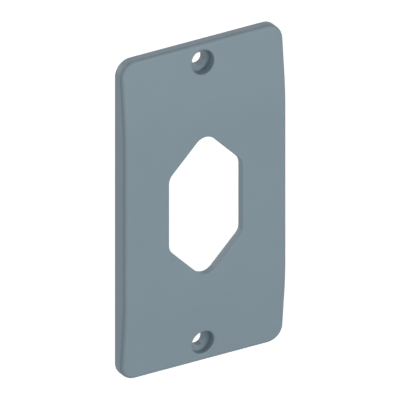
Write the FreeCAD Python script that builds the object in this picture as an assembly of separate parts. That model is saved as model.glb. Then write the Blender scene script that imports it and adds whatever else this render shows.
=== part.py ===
"""Outlet box cover: a crowned cover plate with a hexagonal socket window and two deep screw holes.

Frame: the plate stands upright as it is fixed. +Z runs up its height, the front faces -Y, and Y = 0 is the
plane of the back rim that meets the box. The origin is midway between the two screw holes, in that plane.
All sizes are in mm.
"""
import FreeCAD, Part
import math
import os

# Plate outline and section
plate_width = 53.8
plate_height = 101.1
corner_radius = 4.9
wall = 2.2
front_edge_radius = 1.2

# Crown: the front is flat across its middle and falls back towards both ends
middle_depth = 5.5
end_depth = 3.3
slope_run = 21.0
crown_blend_radius = 100.0

# Socket window: an upright hexagon with straight sides and square tips, in the middle of the plate
window_width = 24.15
window_straight_side = 22.7
window_side_radius = 3.85
window_tip_radius = 4.0

# Screw holes on the centre line; the upper one is a little nearer to its end of the plate
screw_to_upper_end = 5.6
screw_to_lower_end = 6.2
screw_hole_diameter = 4.15
head_recess_diameter = 7.4
head_recess_depth = 2.65
boss_wall = 1.5
collar_wall = 1.4
collar_height = 1.1

# Small radius on the front edge of the window and of both head recesses
mouth_edge_radius = 0.3

# Worked out from the sizes above
half_height = plate_height / 2
plate_middle = (screw_to_upper_end - screw_to_lower_end) / 2
screw_height = (plate_height - screw_to_upper_end - screw_to_lower_end) / 2
slope_start = half_height - slope_run
slope = math.atan2(middle_depth - end_depth, slope_run)
window_half_width = window_width / 2
window_tip_height = window_straight_side / 2 + window_half_width

# Limits that hold for any size: how far cutters run past a face, the most of the plate's end that its rounded
# edge may take, how far a face's normal points forward on the crown but not on a side, and the slack in a
# comparison
past_the_face = 1.0
rounded_share_of_end = 0.9
forward_normal = -0.5
slack = 1e-6

ACROSS = FreeCAD.Vector(1, 0, 0)
BACKWARD = FreeCAD.Vector(0, 1, 0)
MAIN_NODE = "cover_plate"


def front_depth(height):
    """Depth of the crowned front over the rim plane, at a height on one of its sloping ends."""
    return middle_depth - (abs(height - plate_middle) - slope_start) * math.tan(slope)


def runs_along(edge, direction):
    """True for a straight edge that is parallel to the direction."""
    span = edge.Vertexes[-1].Point - edge.Vertexes[0].Point
    straight = abs(edge.Length - span.Length) < slack
    return straight and span.cross(direction).Length < slack * edge.Length


def blend_arc(depth, bend, radius):
    """Start, middle and end, as depth and height, of the arc between the flat middle and the upper slope."""
    start_height = bend - radius * math.tan(slope / 2)
    return [(-depth + radius * (1 - math.cos(turn)), start_height + radius * math.sin(turn))
            for turn in (0, slope / 2, slope)]


def crowned_block(inset):
    """Crowned solid with rounded corners down to the rim plane, its outer faces pulled in by inset."""
    depth = middle_depth - inset
    height = half_height - inset
    left = inset - plate_width / 2
    bend = slope_start - inset * math.tan(slope / 2)
    depth_at_end = depth - (height - bend) * math.tan(slope)
    blend = blend_arc(depth, bend, crown_blend_radius - inset)
    profile = blend + [(-depth_at_end, height), (0, height)]
    upper = [FreeCAD.Vector(left, y, plate_middle + z) for y, z in profile]
    lower = [FreeCAD.Vector(left, point.y, 2 * plate_middle - point.z) for point in upper]
    upper_arc = Part.Arc(*upper[:3]).toShape()
    lower_arc = Part.Arc(*lower[2::-1]).toShape()
    straight = Part.makePolygon(upper[2:] + lower[:1:-1])
    outline = Part.Wire([upper_arc, *straight.Edges, lower_arc, Part.makeLine(lower[0], upper[0])])
    block = Part.Face(outline).extrude(ACROSS * (-2 * left))
    corners = [edge for edge in block.Edges if runs_along(edge, BACKWARD)]
    return block.makeFillet(corner_radius - inset, corners)


def faces_forward(face):
    """True for a face of the crowned front."""
    u_low, u_high, v_low, v_high = face.ParameterRange
    return face.normalAt((u_low + u_high) / 2, (v_low + v_high) / 2).y < forward_normal


def round_front_edge(block):
    """Rounds the edge that runs all the way round the front, where it meets the sides, ends and corners."""
    radius = min(front_edge_radius, rounded_share_of_end * end_depth)
    rim = []
    for edge in block.Edges:
        forward = [faces_forward(face) for face in block.ancestorsOfType(edge, Part.Face)]
        off_the_rim_plane = edge.BoundBox.YMin < -slack
        if off_the_rim_plane and any(forward) and not all(forward):
            rim.append(edge)
    return block.makeFillet(radius, rim)


def rod(diameter, start, end, height):
    """Round rod along Y between two depths, on the centre line at the given height."""
    return Part.makeCylinder(diameter / 2, end - start, FreeCAD.Vector(0, start, height), BACKWARD)


def window_cutter():
    """Upright hexagonal prism with rounded corners, long enough to pass through the whole plate."""
    half_side = window_straight_side / 2
    right = [(0, -window_tip_height), (window_half_width, -half_side), (window_half_width, half_side)]
    left = [(-x, -z) for x, z in right]
    start = -middle_depth - past_the_face
    ring = right + left + right[:1]
    outline = Part.makePolygon([FreeCAD.Vector(x, start, plate_middle + z) for x, z in ring])
    prism = Part.Face(outline).extrude(BACKWARD * (past_the_face - start))
    edges = [edge for edge in prism.Edges if runs_along(edge, BACKWARD)]
    tips = [edge for edge in edges if abs(edge.CenterOfMass.x) < slack]
    prism = prism.makeFillet(window_tip_radius, tips)
    edges = [edge for edge in prism.Edges if runs_along(edge, BACKWARD)]
    sides = [edge for edge in edges if abs(abs(edge.CenterOfMass.x) - window_half_width) < slack
             and abs(abs(edge.CenterOfMass.z - plate_middle) - half_side) < slack]
    return prism.makeFillet(window_side_radius, sides)


def round_mouth(shape, opening, floor):
    """Rounds the mouth of an opening: the edges round it that lie wholly in front of its floor."""
    reach = opening.BoundBox
    reach.enlarge(slack)
    mouth = [edge for edge in shape.Edges
             if reach.isInside(edge.BoundBox) and edge.BoundBox.YMax < floor - slack]
    return shape.makeFillet(mouth_edge_radius, mouth)


def cover_plate():
    """The whole moulding: shell, screw bosses with their collars, head recesses, screw holes and window."""
    outside = round_front_edge(crowned_block(0))
    shell = outside.cut(crowned_block(wall))
    boss_diameter = head_recess_diameter + 2 * boss_wall
    collar_diameter = screw_hole_diameter + 2 * collar_wall
    front = -middle_depth - past_the_face
    back = collar_height + past_the_face
    for height in (screw_height, -screw_height):
        seat = head_recess_depth - front_depth(height)
        boss = rod(boss_diameter, front, 0, height).common(outside)
        collar = rod(collar_diameter, seat, collar_height, height)
        shell = shell.fuse(boss).fuse(collar)
        recess = rod(head_recess_diameter, front, seat, height)
        shell = round_mouth(shell.cut(recess), recess, seat)
        shell = shell.cut(rod(screw_hole_diameter, front, back, height))
    window = window_cutter()
    shell = round_mouth(shell.cut(window), window, wall - middle_depth)
    return shell.removeSplitter()


os.makedirs("parts", exist_ok=True)
plate = cover_plate()
plate.Solids[0].exportStep(f"parts/{MAIN_NODE}.step")
box = plate.BoundBox
print(f"{MAIN_NODE}: {len(plate.Solids)} solid, valid {plate.isValid()}, {plate.Volume:.0f} mm3, "
      f"{box.XLength:.2f} x {box.YLength:.2f} x {box.ZLength:.2f} mm, holes {2 * screw_height:.2f} mm apart")
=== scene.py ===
"""Looks for the outlet box cover: one satin blue-grey moulding, hung in front of a plain pale studio.

Metres, in the part's own frame: +Z up the plate, the front facing -Y, and the origin midway between the two
screw holes.
"""
import math
import bpy
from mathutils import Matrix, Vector


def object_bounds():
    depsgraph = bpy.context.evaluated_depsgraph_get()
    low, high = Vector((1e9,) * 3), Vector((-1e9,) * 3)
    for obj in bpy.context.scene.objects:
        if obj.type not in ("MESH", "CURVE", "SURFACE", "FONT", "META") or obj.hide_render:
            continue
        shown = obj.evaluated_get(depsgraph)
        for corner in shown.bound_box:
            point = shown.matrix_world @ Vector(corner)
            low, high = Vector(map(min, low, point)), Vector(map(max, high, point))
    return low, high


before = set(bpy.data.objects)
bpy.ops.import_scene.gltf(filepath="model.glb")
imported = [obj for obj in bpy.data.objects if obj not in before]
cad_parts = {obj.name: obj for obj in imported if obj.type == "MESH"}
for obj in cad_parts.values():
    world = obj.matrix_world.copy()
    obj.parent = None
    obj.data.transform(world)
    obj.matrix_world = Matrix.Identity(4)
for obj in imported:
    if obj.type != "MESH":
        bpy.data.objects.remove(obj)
cad_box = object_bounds()

# Cover plate
# The whole cover is one thin shell of self-coloured thermoplastic, shot into a fine spark-eroded mould. It
# comes out soft satin all over, with the faint flow and sink of a shell of even wall. Two screws hold it to
# its box.
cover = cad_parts["cover_plate"]


def moulded_plastic():
    """Soft satin plastic with a slow drift of tone, an uneven gloss, and the mould's fine grain as a bump."""
    material = bpy.data.materials.new("moulded_plastic")
    material.use_nodes = True
    nodes, links = material.node_tree.nodes, material.node_tree.links
    plastic = nodes["Principled BSDF"]
    plastic.inputs["IOR"].default_value = 1.49
    place = nodes.new("ShaderNodeTexCoord").outputs["Object"]

    def noise(features_per_metre, detail):
        pattern = nodes.new("ShaderNodeTexNoise")
        pattern.inputs["Scale"].default_value = features_per_metre
        pattern.inputs["Detail"].default_value = detail
        links.new(place, pattern.inputs["Vector"])
        return pattern.outputs["Fac"]

    drift = nodes.new("ShaderNodeMix")
    drift.data_type = "RGBA"
    drift.inputs["A"].default_value = (0.167, 0.223, 0.257, 1)
    drift.inputs["B"].default_value = (0.178, 0.236, 0.273, 1)
    links.new(noise(features_per_metre=70, detail=2), drift.inputs["Factor"])
    links.new(drift.outputs["Result"], plastic.inputs["Base Color"])

    gloss = nodes.new("ShaderNodeMapRange")
    gloss.inputs["To Min"].default_value = 0.60
    gloss.inputs["To Max"].default_value = 0.72
    links.new(noise(features_per_metre=1800, detail=3), gloss.inputs["Value"])
    links.new(gloss.outputs["Result"], plastic.inputs["Roughness"])

    grain = nodes.new("ShaderNodeBump")
    grain.inputs["Strength"].default_value = 0.25
    grain.inputs["Distance"].default_value = 0.00002
    links.new(noise(features_per_metre=5200, detail=2), grain.inputs["Height"])
    links.new(grain.outputs["Normal"], plastic.inputs["Normal"])
    return material


cover.material_slots[0].material = moulded_plastic()

# Studio floor and background
# A plain pale sheet of matt card lies well below the cover, which hangs free above it. The sheet takes the
# cover's soft shadow, and runs on to a white that surrounds everything.
floor_drop = 0.30
floor_half = 6.0
floor_lift = 0.76
floor_mesh = bpy.data.meshes.new("floor")
floor_z = cad_box[0].z - floor_drop
corners = [(-floor_half, -floor_half, floor_z), (floor_half, -floor_half, floor_z),
           (floor_half, floor_half, floor_z), (-floor_half, floor_half, floor_z)]
floor_mesh.from_pydata(corners, [], [(0, 1, 2, 3)])
floor = bpy.data.objects.new("floor", floor_mesh)
bpy.context.scene.collection.objects.link(floor)


def seen_directly(tree):
    """1 for rays from the camera, from a gloss or through glass, and 0 for the soft light on the object."""
    path = tree.nodes.new("ShaderNodeLightPath")
    total = path.outputs["Is Camera Ray"]
    for kind in ("Is Glossy Ray", "Is Transmission Ray"):
        either = tree.nodes.new("ShaderNodeMath")
        either.operation = "MAXIMUM"
        tree.links.new(total, either.inputs[0])
        tree.links.new(path.outputs[kind], either.inputs[1])
        total = either.outputs[0]
    return total


def pale_floor():
    """Pale matt sheet that is lifted to white where it is seen, and still darkens under a shadow."""
    material = bpy.data.materials.new("pale_floor")
    material.use_nodes = True
    tree = material.node_tree
    sheet = tree.nodes["Principled BSDF"]
    sheet.inputs["Base Color"].default_value = (0.5, 0.5, 0.5, 1)
    sheet.inputs["Roughness"].default_value = 1.0
    sheet.inputs["Specular IOR Level"].default_value = 0.0
    sheet.inputs["Emission Color"].default_value = (floor_lift, floor_lift, floor_lift, 1)
    tree.links.new(seen_directly(tree), sheet.inputs["Emission Strength"])
    return material


floor_mesh.materials.append(pale_floor())

# Studio light
# Six wide lamps stand far off. Two are low in front, one is high on the right, one is on the left, and two
# are low behind, so that their light comes through the window and the screw holes. The room round them adds
# very little light.
room_light = 0.02
world = bpy.data.worlds.new("studio")
world.use_nodes = True
bpy.context.scene.world = world
sky = world.node_tree.nodes["Background"]
sky.inputs["Color"].default_value = (1, 1, 1, 1)
strength = world.node_tree.nodes.new("ShaderNodeMapRange")
strength.inputs["To Min"].default_value = room_light
strength.inputs["To Max"].default_value = 1.0
world.node_tree.links.new(seen_directly(world.node_tree), strength.inputs["Value"])
world.node_tree.links.new(strength.outputs["Result"], sky.inputs["Strength"])


def soft_lamp(name, towards_lamp, irradiance, spread_degrees):
    """A wide, far lamp whose rays come from one direction: a sun lamp with a large disc."""
    data = bpy.data.lights.new(name, "SUN")
    data.energy = irradiance
    data.angle = math.radians(spread_degrees)
    lamp = bpy.data.objects.new(name, data)
    bpy.context.scene.collection.objects.link(lamp)
    lamp.rotation_mode = "QUATERNION"
    lamp.rotation_quaternion = Vector(towards_lamp).to_track_quat("Z", "Y")


soft_lamp("front_right_lamp", (0.420, -0.896, 0.146), irradiance=2.24, spread_degrees=50)
soft_lamp("front_left_lamp", (-0.458, -0.883, 0.105), irradiance=0.89, spread_degrees=24)
soft_lamp("high_right_lamp", (0.444, -0.521, 0.729), irradiance=0.58, spread_degrees=30)
soft_lamp("left_lamp", (-0.891, -0.284, 0.354), irradiance=0.75, spread_degrees=24)
soft_lamp("back_left_lamp", (-0.258, 0.962, 0.091), irradiance=3.05, spread_degrees=24)
soft_lamp("back_right_lamp", (0.295, 0.942, 0.160), irradiance=1.55, spread_degrees=24)

# Camera
# It looks at the front from the left and from above, at the photo's angle. It stands so far off that the
# plate's edges stay parallel, so it is set as a view without perspective.
camera_azimuth = math.radians(-30.8)
camera_elevation = math.radians(26.7)
camera_distance = 1.0
picture_width = 0.114
aim_right = 0.00114
aim_up = -0.00080
sin_a, cos_a = math.sin(camera_azimuth), math.cos(camera_azimuth)
sin_e, cos_e = math.sin(camera_elevation), math.cos(camera_elevation)
to_camera = Vector((sin_a * cos_e, -cos_a * cos_e, sin_e))
picture_right = Vector((cos_a, sin_a, 0))
picture_up = Vector((-sin_a * sin_e, cos_a * sin_e, cos_e))
camera_data = bpy.data.cameras.new("camera")
camera_data.type = "ORTHO"
camera_data.ortho_scale = picture_width
camera = bpy.data.objects.new("camera", camera_data)
bpy.context.scene.collection.objects.link(camera)
camera.location = picture_right * aim_right + picture_up * aim_up + to_camera * camera_distance
camera.rotation_mode = "QUATERNION"
camera.rotation_quaternion = to_camera.to_track_quat("Z", "Y")
bpy.context.scene.camera = camera
bpy.context.scene.view_settings.view_transform = "Standard"
